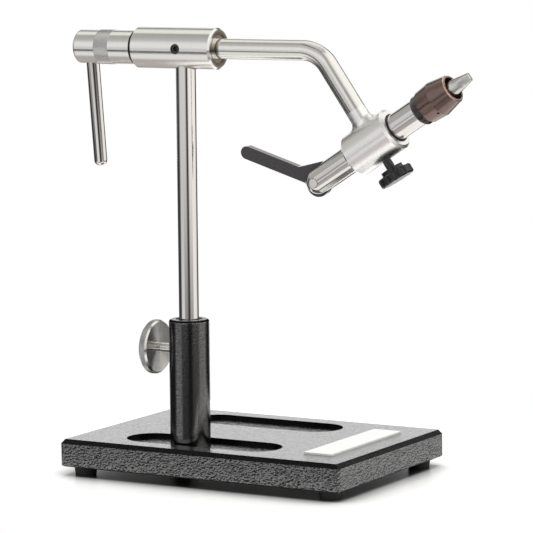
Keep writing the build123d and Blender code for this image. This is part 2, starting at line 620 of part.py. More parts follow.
def make_adjusting_sleeve():
    """Barrel-shaped nut that screws on the tube's front and closes round the jaws, with a spanner hole."""
    band_end = SLEEVE_BACK + SLEEVE_BAND_LENGTH
    groove_end = band_end + SLEEVE_GROOVE_WIDTH
    groove_radius = SLEEVE_BAND_RADIUS - SLEEVE_GROOVE_DEPTH
    thread = TUBE_RADIUS + RUNNING_CLEARANCE
    mouth = SLEEVE_FRONT - SLEEVE_MOUTH_LENGTH
    sleeve = turned_x([
        (mouth, SLEEVE_MOUTH_RADIUS),
        (mouth, thread),
        (SLEEVE_BACK, thread),
        (SLEEVE_BACK, SLEEVE_BAND_RADIUS - SLEEVE_EDGE / 2),
        (SLEEVE_BACK + SLEEVE_EDGE, SLEEVE_BAND_RADIUS),
        (band_end, SLEEVE_BAND_RADIUS),
        (band_end, groove_radius),
        (groove_end, groove_radius),
        (groove_end, SLEEVE_SHOULDER_RADIUS),
        (groove_end + SLEEVE_BELLY_FROM_BAND, SLEEVE_BELLY_RADIUS),
        (SLEEVE_FRONT - SLEEVE_EDGE, SLEEVE_FRONT_RADIUS),
        (SLEEVE_FRONT, SLEEVE_FRONT_RADIUS - SLEEVE_EDGE),
        (SLEEVE_FRONT, SLEEVE_MOUTH_RADIUS),
    ])
    hole = rod_y(SLEEVE_HOLE_RADIUS, -SLEEVE_BELLY_RADIUS, -SLEEVE_BELLY_RADIUS + SLEEVE_HOLE_DEPTH)
    sleeve -= Pos(SLEEVE_BACK + SLEEVE_HOLE_FROM_BACK, 0, 0) * Rot(SLEEVE_HOLE_TURN, 0, 0) * hole
    return JAW_AT * sleeve


def make_jaw(side):
    """One half of the split jaws; side is -1 for the near half and 1 for the far half."""
    nose_slope = (NOSE_RADIUS - NOSE_TIP_RADIUS) / NOSE_CONE_LENGTH
    nose_start = NOSE_REACH - NOSE_CONE_LENGTH
    cavity_back = NOSE_RADIUS + JAW_CAVITY_GAP + nose_slope * (nose_start - JAW_TAIL_BACK)
    cavity_front = NOSE_TIP_RADIUS + JAW_CAVITY_GAP
    outline = [
        (JAW_TAIL_BACK, cavity_back),
        (JAW_TAIL_BACK, JAW_TAIL_RADIUS),
        (JAW_FLANGE_BACK, JAW_TAIL_RADIUS),
        (JAW_FLANGE_BACK, JAW_FLANGE_RADIUS),
        (JAW_FLANGE_FRONT, JAW_FLANGE_RADIUS),
        (JAW_FLANGE_FRONT, JAW_NECK_RADIUS),
        (JAW_TIP - JAW_TAPER_LENGTH, JAW_NECK_RADIUS),
        (JAW_TIP, JAW_TIP_RADIUS),
        (JAW_TIP, 0),
        (JAW_FLANGE_BACK, 0),
        (JAW_FLANGE_BACK, cavity_front),
        (NOSE_REACH, cavity_front),
    ]
    jaw = turned_x(outline)
    flat = Plane.XY * make_face(Polyline([
        (JAW_TIP - JAW_TAPER_LENGTH, side * JAW_NECK_RADIUS),
        (JAW_TIP, side * JAW_TIP_WIDTH / 2),
        (JAW_TIP + CUT_MARGIN, side * JAW_TIP_WIDTH / 2),
        (JAW_TIP + CUT_MARGIN, side * (JAW_NECK_RADIUS + CUT_MARGIN)),
        (JAW_TIP - JAW_TAPER_LENGTH, side * (JAW_NECK_RADIUS + CUT_MARGIN)),
    ], close=True))
    jaw -= extrude(flat, JAW_FLANGE_RADIUS, both=True)
    keep_half = JAW_FLANGE_RADIUS + CUT_MARGIN
    keep_at = side * (JAW_GAP / 2 + keep_half)
    keep = Pos(JAW_TIP / 2, keep_at, 0) * Box(2 * JAW_TIP, 2 * keep_half, 2 * keep_half)
    return JAW_AT * (jaw & keep)


PARTS = {
    "base_plate": make_base_plate(),
    "base_strip": make_base_strip(),
    "column": make_column(),
    "column_bolt": make_column_bolt(),
    "post_liner": make_post_liner(),
    "clamp_stud": make_clamp_stud(),
    "clamp_knob": make_clamp_knob(),
    "post": make_post(),
    "rotary_housing": make_rotary_housing(),
    "front_bush": make_front_bush(),
    "rear_bush": make_rear_bush(),
    "tension_screw": make_tension_screw(),
    "tension_pad": make_tension_pad(),
    "bent_arm": make_bent_arm(),
    "jaw_collar": make_jaw_collar(),
    "retaining_ring": make_retaining_ring(),
    "thrust_washer": make_thrust_washer(),
    "crank_hub": make_crank_hub(),
    "hub_set_screw": make_hub_set_screw(),
    "crank_handle": make_crank_handle(),
    "knob_stud": make_knob_stud(),
    "collar_knob": make_collar_knob(),
    "collar_liner": make_collar_liner(),
    "jaw_tube": make_jaw_tube(),
    "lever_pin": make_lever_pin(),
    "cam_lever": make_cam_lever(),
    "plunger": make_plunger(),
    "return_spring": make_return_spring(),
    "adjusting_sleeve": make_adjusting_sleeve(),
    "near_jaw": make_jaw(-1),
    "far_jaw": make_jaw(1),
}
for name_y, side_y in (("front", -1), ("back", 1)):
    for name_x, side_x in (("left", -1), ("right", 1)):
        PARTS[f"foot_{name_y}_{name_x}"] = make_foot(side_x, side_y)

print("least gap of the spring to itself, mm:", round(spring_self_gap(), 3))
os.makedirs("parts", exist_ok=True)
for name, shape in PARTS.items():
    export_step(shape, f"parts/{name}.step")
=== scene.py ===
import json
import math

import bmesh
import bpy
from mathutils import Matrix, Vector


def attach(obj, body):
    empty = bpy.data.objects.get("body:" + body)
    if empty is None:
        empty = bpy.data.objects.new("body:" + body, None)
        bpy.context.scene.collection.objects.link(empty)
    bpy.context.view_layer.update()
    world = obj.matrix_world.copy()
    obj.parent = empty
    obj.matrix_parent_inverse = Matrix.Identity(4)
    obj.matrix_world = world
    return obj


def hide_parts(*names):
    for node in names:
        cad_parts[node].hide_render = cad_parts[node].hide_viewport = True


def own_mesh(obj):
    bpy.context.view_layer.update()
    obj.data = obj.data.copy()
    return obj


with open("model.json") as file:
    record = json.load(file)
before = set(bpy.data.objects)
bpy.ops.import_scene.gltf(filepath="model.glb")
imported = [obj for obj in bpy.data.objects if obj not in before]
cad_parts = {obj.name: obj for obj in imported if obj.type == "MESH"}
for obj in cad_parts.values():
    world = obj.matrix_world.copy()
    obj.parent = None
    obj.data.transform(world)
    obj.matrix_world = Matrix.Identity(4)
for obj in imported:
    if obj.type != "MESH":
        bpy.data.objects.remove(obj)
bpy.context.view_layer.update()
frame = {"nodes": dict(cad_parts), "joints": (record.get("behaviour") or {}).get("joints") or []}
MM = 0.001

# Camera of the photograph
CAMERA_AZIMUTH = math.radians(29.897)
CAMERA_ELEVATION = math.radians(6.850)
CAMERA_ROLL = math.radians(-0.568)
CAMERA_DISTANCE = 1.45826
CAMERA_TARGET = Vector((0.008455, 0, 0.09808))
CAMERA_LENS = 209.3

# Studio panels: from, to and soft edge in degrees to the right of the camera, then of height, and colour
ROOM = (0.05, 0.05, 0.05)
PANELS = [
    ((-86, -7, 9), (-7, 57, 2.5), (0.62, 0.61, 0.62)),
    ((-58, -12, 5), (-33, -14, 2.5), (0.90, 0.89, 0.89)),
    ((-84, -44, 6), (-13, -7, 2), (1.0, 0.98, 1.0)),
    ((-88, -56, 6), (-60, -25, 4), (0.98, 0.97, 0.95)),
    ((-190, 190, 8), (-95, -36, 5), (0.54, 0.50, 0.49)),
    ((-76, -7, 7), (-2, 31, 7), (0.98, 0.98, 0.96)),
    ((-134, -80, 8), (10, 62, 8), (0.54, 0.54, 0.51)),
    ((-20, 40, 8), (17, 62, 8), (0.50, 0.50, 0.49)),
    ((22, 60, 6), (-33, -13, 2.5), (0.70, 0.68, 0.66)),
    ((19, 114, 7), (-7, 64, 2.5), (1.10, 1.06, 1.03)),
    ((58, 104, 6), (-15, 0, 4), (1.02, 0.98, 0.95)),
    ((40, 138, 8), (18, 62, 8), (1.26, 1.25, 1.20)),
    ((-190, -118, 8), (42, 95, 8), (1.05, 1.05, 1.0)),
    ((118, 190, 8), (42, 95, 8), (1.05, 1.05, 1.0)),
    ((-190, 190, 8), (66, 95, 6), (0.70, 0.70, 0.69)),
]

# White backdrop in the metal: where it starts and where it is full, as a share of the camera's axis
BACKDROP_EDGE = (-0.80, -0.92)

# Floor sheet: reach from the origin in metres, form of its corners, and how open to the sky it has to be
# to stay dark in its painted shadow, to start to glow and to be white
FLOOR_LEFT = 0.135
FLOOR_RIGHT = 0.20
FLOOR_FRONT = 0.115
FLOOR_BACK = 0.20
FLOOR_ROUNDING = 0.35
FLOOR_SIDES = 96
FLOOR_DROP = 0.05 * MM
FLOOR_SHADE_REACH = 0.05
FLOOR_SHADOW_AT = 0.25
FLOOR_GLOW_AT = 0.3
FLOOR_WHITE_AT = 0.8
FLOOR_SHADOW = (0.03, 0.03, 0.03)
FLOOR_WHITE = (0.84, 0.84, 0.84)
FLOOR_GLOW = 0.36

# Soft lamp above
TOP_LIGHT_SIZE = 1.4
TOP_LIGHT_HEIGHT = 1.2
TOP_LIGHT_LEVEL = 1.25

# Places on the part, taken from its joints
JOINTS = {joint["name"]: joint for joint in frame["joints"]}
HEAD = Vector(JOINTS["rotary_spin"]["pos_m"])
COLLAR = Vector(JOINTS["jaw_turn"]["pos_m"])
JAW_AXIS = Vector(JOINTS["jaw_turn"]["axis"])
ARM_AXIS = -Vector(JOINTS["collar_screw_turn"]["axis"])
CLAMP = Vector(JOINTS["clamp_screw_turn"]["pos_m"])

# Wrinkles of the black coat: stretch along each axis, step in metres, mostly upward, over which their slope
# is read for a painted highlight, slope at which that painted highlight is brightest, depth in millimetres,
# and relief on level faces
WRINKLE_STRETCH = (0.75, 0.75, 1.2)
WRINKLE_LIGHT_STEP = (-0.00015, -0.00015, 0.0004)
WRINKLE_HIGHLIGHT_SLOPE = 0.12
WRINKLE_DEPTH = 0.40
TOP_RELIEF = 0.8

# Upward part of a face's normal: where it stops being upright, takes on the level relief, and is level
UPRIGHT_END = (0.35, 0.45)
RELIEF_RISE = (0.4, 0.95)
LEVEL_START = (0.85, 0.95)

# Half length and half depth in metres of the middle of the plate, where upright faces are pocket walls and
# lose their coat, a painted shade in the pockets
SHADED_POCKET_REACH = (0.071, 0.049)

# Turning marks on the clamp disc, in radians per metre
DISC_RINGS = 15000.0

# Knurls, threads and the spring, in millimetres from those places on the part
HUB_RADIUS = 7.95
HUB_KNURL = (-46.0, -38.0)
CLAMP_DISC_RADIUS = 12.5
CLAMP_KNURL = (-19.9, -17.1)
CLAMP_THREAD = (-15.4, -9.6)
STUD_RADIUS = 2.0
KNOB_THREAD = (-13.3, -10.3)
SLEEVE_BAND_RADIUS = 7.1
SLEEVE_KNURL = (28.4, 30.9)
SLEEVE_SPAN = (27.8, 48.0)
KNURL_LIFT = 0.03
THREAD_PITCH = 0.8
THREAD_DEPTH = 0.14
SPRING_RADIUS = 2.95
SPRING_WIRE = 0.4
SPRING_SPAN = (-17.693, -0.7)
SPRING_TURNS = 8


def axes(origin, along, up):
    """Frame at a place, with X along one direction and Z along another."""
    side = up.cross(along)
    turn = Matrix((along, side, up)).transposed()
    return Matrix.Translation(origin) @ turn.to_4x4()


X_AXIS = Vector((1, 0, 0))
Z_AXIS = Vector((0, 0, 1))
JAW_FRAME = axes(COLLAR, JAW_AXIS, ARM_AXIS)
HEAD_FRAME = axes(HEAD, X_AXIS, Z_AXIS)
CLAMP_FRAME = axes(CLAMP, X_AXIS, Z_AXIS)
KNOB_FRAME = axes(COLLAR, ARM_AXIS, -JAW_AXIS)


# Node helpers

def new_material(name):
    """Material with a node tree; returns it with its tree and main shader."""
    material = bpy.data.materials.new(name)
    material.use_nodes = True
    tree = material.node_tree
    return material, tree, tree.nodes["Principled BSDF"]


def add(tree, kind, values=None, **settings):
    """Node with settings and socket values."""
    node = tree.nodes.new(kind)
    for key, value in settings.items():
        setattr(node, key, value)
    for socket, value in (values or {}).items():
        node.inputs[socket].default_value = value
    return node


def object_vector(tree, place=None, stretch=(1, 1, 1), shift=(0, 0, 0)):
    """Object coordinates, seen from a place on the part, stretched along its axes and shifted."""
    vector = add(tree, "ShaderNodeTexCoord").outputs["Object"]
    if place is not None:
        inverse = place.inverted()
        turned = add(tree, "ShaderNodeMapping",
                     {"Location": inverse.to_translation(), "Rotation": inverse.to_euler()})
        tree.links.new(vector, turned.inputs["Vector"])
        vector = turned.outputs["Vector"]
    scaled = add(tree, "ShaderNodeMapping", {"Scale": stretch, "Location": shift})
    tree.links.new(vector, scaled.inputs["Vector"])
    return scaled.outputs["Vector"]


def noise(tree, vector, scale, detail=2.0, distortion=0.0):
    """Brightness of a noise texture."""
    node = add(tree, "ShaderNodeTexNoise", {"Scale": scale, "Detail": detail, "Distortion": distortion})
    tree.links.new(vector, node.inputs["Vector"])
    return node.outputs["Fac"]


def math_node(tree, operation, first, second):
    """Result of a math operation on two sockets or numbers."""
    node = add(tree, "ShaderNodeMath", operation=operation)
    for socket, value in zip(node.inputs, (first, second)):
        if isinstance(value, (int, float)):
            socket.default_value = value
        else:
            tree.links.new(value, socket)
    return node.outputs["Value"]


def map_range(tree, source, low, high, start=0.0, end=1.0):
    """Source carried from start..end to low..high."""
    node = add(tree, "ShaderNodeMapRange",
               {"From Min": start, "From Max": end, "To Min": low, "To Max": high})
    tree.links.new(source, node.inputs["Value"])
    return node.outputs["Result"]


def colour_ramp(tree, source, stops):
    """Colour by position; stops are (position, colour) with the colour as three numbers."""
    node = add(tree, "ShaderNodeValToRGB")
    elements = node.color_ramp.elements
    while len(elements) < len(stops):
        elements.new(1.0)
    for element, (position, colour) in zip(elements, stops):
        element.position = position
        element.color = (*colour, 1)
    tree.links.new(source, node.inputs["Fac"])
    return node.outputs["Color"]


def set_bump(tree, shader, height, strength, depth, socket="Normal"):
    """Relief on a shader; depth is in millimetres and the strength may be a socket."""
    node = add(tree, "ShaderNodeBump", {"Distance": depth * MM})
    if isinstance(strength, float):
        node.inputs["Strength"].default_value = strength
    else:
        tree.links.new(strength, node.inputs["Strength"])
    tree.links.new(height, node.inputs["Height"])
    tree.links.new(node.outputs["Normal"], shader.inputs[socket])


def shade(colour, factor):
    """Colour times a factor."""
    return tuple(channel * factor for channel in colour)


# Materials

def outer_faces(tree, reach):
    """One outside a rectangle of two half lengths round the origin, and nothing within."""
    place = add(tree, "ShaderNodeSeparateXYZ")
    tree.links.new(object_vector(tree), place.inputs["Vector"])
    beyond = []
    for axis, half in zip("XY", reach):
        distance = math_node(tree, "ABSOLUTE", place.outputs[axis], 0.0)
        beyond.append(math_node(tree, "GREATER_THAN", distance, half))
    return math_node(tree, "MAXIMUM", *beyond)


def black_coat(name, grain, relief, shaded_side_coat, gloss, bare=None):
    """Black wrinkle powder coat with a painted highlight: more coat on the upper side of each wrinkle, as if
    lit from above, and no coat on the bevels.

    grain is wrinkles per metre, shaded_side_coat the share of the coat left on their lower side, a painted
    shade, gloss that of the paint below, and bare the half lengths within which upright faces have no coat, a
    painted shade on the pocket walls.
    """
    material, tree, shader = new_material(name)
    here = object_vector(tree, stretch=WRINKLE_STRETCH)
    folds = noise(tree, here, grain, detail=1.0, distortion=0.5)
    # the same wrinkles read a small step higher: where a wrinkle faces up it gets more coat, a painted
    # highlight
    above = object_vector(tree, stretch=WRINKLE_STRETCH, shift=WRINKLE_LIGHT_STEP)
    slope = math_node(tree, "SUBTRACT", folds, noise(tree, above, grain, detail=1.0, distortion=0.5))
    facing = add(tree, "ShaderNodeSeparateXYZ")
    tree.links.new(add(tree, "ShaderNodeTexCoord").outputs["Normal"], facing.inputs["Vector"])
    upward = facing.outputs["Z"]
    level = map_range(tree, upward, 0, 1, *LEVEL_START)
    upright = map_range(tree, upward, 1, 0, *UPRIGHT_END)
    # no coat on upright faces within the pocket reach: painted shade on the pocket walls
    if bare is not None:
        upright = math_node(tree, "MULTIPLY", upright, outer_faces(tree, bare))
    painted_sheen = map_range(tree, slope, shaded_side_coat, 1, -WRINKLE_HIGHLIGHT_SLOPE, WRINKLE_HIGHLIGHT_SLOPE)
    upright_painted_sheen = math_node(tree, "MULTIPLY", upright, painted_sheen)
    tree.links.new(math_node(tree, "MAXIMUM", level, upright_painted_sheen), shader.inputs["Coat Weight"])
    colour = colour_ramp(tree, folds, [(0.4, (0.002, 0.002, 0.002)), (0.6, (0.005, 0.005, 0.006))])
    tree.links.new(colour, shader.inputs["Base Color"])
    tree.links.new(map_range(tree, folds, 0.08, 0.16), shader.inputs["Roughness"])
    shader.inputs["Specular IOR Level"].default_value = gloss
    shader.inputs["Coat Roughness"].default_value = 0.12
    shader.inputs["Coat IOR"].default_value = 2.4
    strength = map_range(tree, upward, relief, TOP_RELIEF, *RELIEF_RISE)
    for socket in ("Normal", "Coat Normal"):
        set_bump(tree, shader, folds, strength, WRINKLE_DEPTH, socket)
    return material


def steel(name, colour, roughness, place=None, lines=(2600, 40, 40), streaks_and_reflection=0.05):
    """Turned or ground steel, with lines per metre along each axis of a place and tone streaks of a depth;
    deep ones are painted reflection bands.
    """
    material, tree, shader = new_material(name)
    shader.inputs["Metallic"].default_value = 1.0
    marks = noise(tree, object_vector(tree, place, lines), 1.0)
    smudge = noise(tree, object_vector(tree), 70.0, detail=3.0)
    tone = colour_ramp(tree, marks, [(0.3, shade(colour, 1 - streaks_and_reflection)), (0.7, colour)])
    tree.links.new(tone, shader.inputs["Base Color"])
    spread = math_node(tree, "ADD", marks, smudge)
    spread = map_range(tree, spread, roughness * 0.85, roughness * 1.15, 0.6, 1.4)
    tree.links.new(spread, shader.inputs["Roughness"])
    set_bump(tree, shader, marks, 0.05, 0.01)
    return material


def turned_disc(name, colour, roughness):
    """Faced steel disc whose turning marks run round the clamp screw and spread the light in fans."""
    material, tree, shader = new_material(name)
    shader.inputs["Metallic"].default_value = 1.0
    shader.inputs["Anisotropic"].default_value = 0.98
    shader.inputs["Anisotropic Rotation"].default_value = 0.25
    tangent = add(tree, "ShaderNodeTangent", direction_type="RADIAL", axis="X")
    tree.links.new(tangent.outputs["Tangent"], shader.inputs["Tangent"])
    place = add(tree, "ShaderNodeSeparateXYZ")
    tree.links.new(object_vector(tree, CLAMP_FRAME), place.inputs["Vector"])
    squares = [math_node(tree, "POWER", place.outputs[axis], 2.0) for axis in "YZ"]
    radius = math_node(tree, "POWER", math_node(tree, "ADD", *squares), 0.5)
    rings = math_node(tree, "SINE", math_node(tree, "MULTIPLY", radius, DISC_RINGS), 0.0)
    ridges = map_range(tree, rings, 0, 1, -1, 1)
    tone = colour_ramp(tree, ridges, [(0.0, shade(colour, 0.92)), (1.0, colour)])
    tree.links.new(tone, shader.inputs["Base Color"])
    smudge = noise(tree, object_vector(tree), 120.0, detail=3.0)
    tree.links.new(map_range(tree, smudge, roughness * 0.8, roughness * 1.2), shader.inputs["Roughness"])
    set_bump(tree, shader, rings, 0.06, 0.01)
    return material


def brown_sleeve():
    """Lacquered brown sleeve: mottled barrel, darker knurled band and a copper line round the mouth."""
    material, tree, shader = new_material("brown_sleeve")
    shader.inputs["Metallic"].default_value = 0.7
    shader.inputs["Coat Weight"].default_value = 1.0
    shader.inputs["Coat Roughness"].default_value = 0.10
    shader.inputs["Coat IOR"].default_value = 1.65
    place = add(tree, "ShaderNodeSeparateXYZ")
    tree.links.new(object_vector(tree, JAW_FRAME), place.inputs["Vector"])
    along = map_range(tree, place.outputs["X"], 0, 1, SLEEVE_SPAN[0] * MM, SLEEVE_SPAN[1] * MM)
    mottle = noise(tree, object_vector(tree), 420.0, detail=4.0)
    barrel = (0.155, 0.072, 0.053)
    band = (0.060, 0.042, 0.050)
    copper = (0.72, 0.43, 0.35)
    colour = colour_ramp(tree, along, [(0.0, band), (0.185, band), (0.20, barrel), (0.972, barrel),
                                       (0.977, copper), (0.994, copper), (0.999, barrel)])
    wear = colour_ramp(tree, mottle, [(0.32, (0.50, 0.56, 0.62)), (0.68, (1, 1, 1))])
    worn = add(tree, "ShaderNodeMix", data_type="RGBA", blend_type="MULTIPLY")
    worn.inputs["Factor"].default_value = 0.7
    tree.links.new(colour, worn.inputs["A"])
    tree.links.new(wear, worn.inputs["B"])
    tree.links.new(worn.outputs["Result"], shader.inputs["Base Color"])
    tree.links.new(map_range(tree, mottle, 0.24, 0.38), shader.inputs["Roughness"])
    set_bump(tree, shader, mottle, 0.06, 0.05)
    return material


def edged_oxide():
    """Black oxide on the lever's broad faces, worn to bare steel on its narrow ones."""
    material, tree, shader = new_material("edged_oxide")
    fine = noise(tree, object_vector(tree), 1500.0, detail=3.0)
    across = JAW_FRAME.to_3x3().col[1]
    facing = add(tree, "ShaderNodeVectorMath", operation="DOT_PRODUCT")
    facing.inputs[1].default_value = across
    tree.links.new(add(tree, "ShaderNodeTexCoord").outputs["Normal"], facing.inputs[0])
    broad = math_node(tree, "ABSOLUTE", facing.outputs["Value"], 0.0)
    bare = map_range(tree, broad, 1, 0, 0.4, 0.6)
    oxide = colour_ramp(tree, fine, [(0.3, (0.050, 0.047, 0.052)), (0.7, (0.072, 0.068, 0.074))])
    colour = add(tree, "ShaderNodeMix", data_type="RGBA")
    tree.links.new(bare, colour.inputs["Factor"])
    tree.links.new(oxide, colour.inputs["A"])
    colour.inputs["B"].default_value = (*BRIGHT_STEEL, 1)
    tree.links.new(colour.outputs["Result"], shader.inputs["Base Color"])
    tree.links.new(bare, shader.inputs["Metallic"])
    tree.links.new(map_range(tree, broad, 0.20, 0.42, 0.4, 0.6), shader.inputs["Roughness"])
    set_bump(tree, shader, fine, 0.10, 0.03)
    return material


def grained(name, dark, light, grain, roughness, relief, metallic=0.0):
    """Matte piece with a fine grain in its colour, gloss and surface."""
    material, tree, shader = new_material(name)
    fine = noise(tree, object_vector(tree), grain, detail=3.0)
    tree.links.new(colour_ramp(tree, fine, [(0.3, dark), (0.7, light)]), shader.inputs["Base Color"])
    tree.links.new(map_range(tree, fine, roughness - 0.06, roughness + 0.06), shader.inputs["Roughness"])
    shader.inputs["Metallic"].default_value = metallic
    set_bump(tree, shader, fine, relief, 0.05)
    return material


STAINLESS = (0.76, 0.75, 0.72)
BRIGHT_STEEL = (0.80, 0.785, 0.765)
SATIN = steel("satin_steel", STAINLESS, 0.17)
POST_STEEL = steel("ground_rod_steel", BRIGHT_STEEL, 0.07, lines=(900, 900, 12))
JAW_STEEL = steel("polished_steel", (0.71, 0.69, 0.675), 0.14, JAW_FRAME)
COLLAR_STEEL = steel("collar_steel", (0.95, 0.94, 0.92), 0.31, JAW_FRAME, lines=(20, 900, 900))
PIN_STEEL = steel("pin_steel", (0.90, 0.89, 0.87), 0.45, JAW_FRAME)
# streaks this deep are partly grinding marks and partly painted reflection bands along the jaws
GROUND_STEEL = steel("ground_jaw_steel", BRIGHT_STEEL, 0.16, JAW_FRAME, (60, 520, 520), streaks_and_reflection=0.55)
CRANK_STEEL = steel("crank_steel", BRIGHT_STEEL, 0.08, lines=(900, 900, 12))
DISC_STEEL = turned_disc("turned_disc_steel", STAINLESS, 0.20)
KNURL_STEEL = grained("knurled_steel", (0.55, 0.54, 0.53), (0.80, 0.79, 0.77), 2600.0, 0.34, 0.2,
                      metallic=1.0)
# a darker copy of the knurled steel: painted shade on the clamp disc's rim
SHADED_RIM_STEEL = grained("shaded_rim_steel", (0.32, 0.31, 0.31), (0.50, 0.49, 0.48), 2600.0, 0.34, 0.2, metallic=1.0)
BRONZE = grained("turned_bronze", (0.46, 0.33, 0.22), (0.62, 0.47, 0.34), 1500.0, 0.22, 0.1, metallic=1.0)
BLACK_OXIDE = grained("black_oxide", (0.026, 0.026, 0.029), (0.044, 0.044, 0.047), 1800.0, 0.30, 0.12)
SPRING_STEEL = grained("spring_wire", (0.33, 0.33, 0.34), (0.48, 0.48, 0.48), 1200.0, 0.30, 0.1, metallic=1.0)
BLACK_PLASTIC = grained("moulded_black", (0.006, 0.006, 0.007), (0.013, 0.013, 0.014), 1400.0, 0.24, 0.15)
NYLON = grained("dark_nylon", (0.012, 0.012, 0.012), (0.022, 0.022, 0.022), 900.0, 0.50, 0.1)
RUBBER = grained("black_rubber", (0.010, 0.010, 0.010), (0.020, 0.020, 0.020), 1100.0, 0.72, 0.3)
WHITE_STRIP = grained("white_strip", (0.88, 0.88, 0.87), (0.94, 0.94, 0.93), 1300.0, 0.18, 0.03)
PLATE_COAT = black_coat("wrinkle_coat_plate", 1050.0, relief=0.35, shaded_side_coat=0.0, gloss=0.10, bare=SHADED_POCKET_REACH)
COLUMN_COAT = black_coat("wrinkle_coat_column", 1800.0, relief=0.04, shaded_side_coat=0.35, gloss=0.0)
BROWN = brown_sleeve()
LEVER_OXIDE = edged_oxide()

FEET = [node for node in frame["nodes"] if node.startswith("foot_")]
DRESS = [
    (PLATE_COAT, ["base_plate"]),
    (COLUMN_COAT, ["column"]),
    (RUBBER, FEET),
    (WHITE_STRIP, ["base_strip"]),
    (POST_STEEL, ["post"]),
    (CRANK_STEEL, ["crank_handle"]),
    (SATIN, ["rotary_housing", "crank_hub", "bent_arm", "retaining_ring", "clamp_stud"]),
    (COLLAR_STEEL, ["jaw_collar"]),
    (DISC_STEEL, ["clamp_knob"]),
    (JAW_STEEL, ["jaw_tube", "plunger"]),
    (PIN_STEEL, ["lever_pin"]),
    (GROUND_STEEL, ["near_jaw", "far_jaw"]),
    (BRONZE, ["front_bush", "rear_bush"]),
    (BROWN, ["adjusting_sleeve"]),
    (LEVER_OXIDE, ["cam_lever"]),
    (BLACK_OXIDE, ["column_bolt", "tension_screw", "hub_set_screw", "knob_stud"]),
    (BLACK_PLASTIC, ["collar_knob"]),
    (NYLON, ["post_liner", "collar_liner", "tension_pad", "thrust_washer"]),
    (SPRING_STEEL, ["return_spring"]),
]
for material, names in DRESS:
    for name in names:
        mesh = frame["nodes"][name].data
        mesh.materials.clear()
        mesh.materials.append(material)


# Fine pieces

def grid_piece(name, place, rows, columns, point, material):
    """Mesh over a grid of points that closes round its columns, in millimetres in a frame."""
    mesh = bpy.data.meshes.new(name)
    points = [place @ (Vector(point(row, column)) * MM) for row in range(rows) for column in range(columns)]
    faces = []
    for row in range(rows - 1):
        for column in range(columns):
            after = (column + 1) % columns
            faces.append((row * columns + column, row * columns + after,
                          (row + 1) * columns + after, (row + 1) * columns + column))
    mesh.from_pydata(points, [], faces)
    mesh.materials.append(material)
    mesh.update()
    piece = bpy.data.objects.new(name, mesh)
    bpy.context.scene.collection.objects.link(piece)
    return piece


def knurled_band(name, place, radius, span, material, teeth, rows, depth, diamond=True):
    """Band of knurling round X: pyramids for a diamond knurl, ridges for a straight one."""
    start, end = span

    def point(row, column):
        angle = math.pi * column / teeth
        raised = (row + column) % 2 if diamond else column % 2
        height = KNURL_LIFT + depth * raised
        if row in (0, rows - 1):
            height = -KNURL_LIFT
        along = start + (end - start) * row / (rows - 1)
        return along, (radius + height) * math.cos(angle), (radius + height) * math.sin(angle)

    return grid_piece(name, place, rows, 2 * teeth, point, material)


def thread(name, place, radius, span, material):
    """Screw thread round X that stands a little proud of a stud."""
    start, end = span
    steps = 24
    per_turn = 6
    rows = round((end - start) / THREAD_PITCH * per_turn) + 1

    def point(row, column):
        along = start + (end - start) * row / (rows - 1)
        phase = (along / THREAD_PITCH - column / steps) % 1.0
        height = KNURL_LIFT + THREAD_DEPTH * abs(2 * phase - 1)
        if row in (0, rows - 1):
            height = -KNURL_LIFT
        angle = 2 * math.pi * column / steps
        return along, (radius + height) * math.cos(angle), (radius + height) * math.sin(angle)

    return grid_piece(name, place, rows, steps, point, material)


def coil_spring(name, place, material):
    """Coil round the plunger's stem."""
    steps = 28
    sides = 10
    start, end = SPRING_SPAN
    rows = SPRING_TURNS * steps + 1
    slope = math.atan2(end - start, 2 * math.pi * SPRING_RADIUS * SPRING_TURNS)

    def point(row, column):
        angle = 2 * math.pi * row / steps
        around = 2 * math.pi * column / sides
        out = SPRING_RADIUS + SPRING_WIRE * math.cos(around)
        along = start + (end - start) * row / (rows - 1) + SPRING_WIRE * math.sin(around) * math.cos(slope)
        lag = -SPRING_WIRE * math.sin(around) * math.sin(slope) / SPRING_RADIUS
        return along, out * math.cos(angle + lag), out * math.sin(angle + lag)

    return grid_piece(name, place, rows, sides, point, material)


def smooth(piece):
    """Smooth shading on a piece."""
    piece.data.polygons.foreach_set("use_smooth", [True] * len(piece.data.polygons))
    return piece


hub_knurl = knurled_band("hub_knurl", HEAD_FRAME, HUB_RADIUS, HUB_KNURL, KNURL_STEEL,
                         teeth=72, rows=25, depth=0.16)
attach(hub_knurl, "rotor")

disc_knurl = knurled_band("disc_rim_knurl", CLAMP_FRAME, CLAMP_DISC_RADIUS, CLAMP_KNURL, SHADED_RIM_STEEL,
                          teeth=90, rows=6, depth=0.22, diamond=False)
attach(disc_knurl, "clamp_screw")

clamp_thread = smooth(thread("clamp_thread", CLAMP_FRAME, STUD_RADIUS, CLAMP_THREAD, SATIN))
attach(clamp_thread, "clamp_screw")

knob_thread = smooth(thread("knob_thread", KNOB_FRAME, STUD_RADIUS, KNOB_THREAD, BLACK_OXIDE))
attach(knob_thread, "collar_screw")

sleeve_knurl = knurled_band("sleeve_knurl", JAW_FRAME, SLEEVE_BAND_RADIUS, SLEEVE_KNURL, BROWN,
                            teeth=64, rows=15, depth=0.14)
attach(sleeve_knurl, "sleeve")

spring = smooth(coil_spring("coil_spring", JAW_FRAME, SPRING_STEEL))
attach(spring, "jaw_tube")
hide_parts("return_spring")
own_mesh(spring)


# Studio

def camera_direction():
    """Direction from the object to the camera."""
    level = math.cos(CAMERA_ELEVATION)
    aside = math.sin(CAMERA_AZIMUTH) * level
    ahead = math.cos(CAMERA_AZIMUTH) * level
    return Vector((aside, -ahead, math.sin(CAMERA_ELEVATION)))


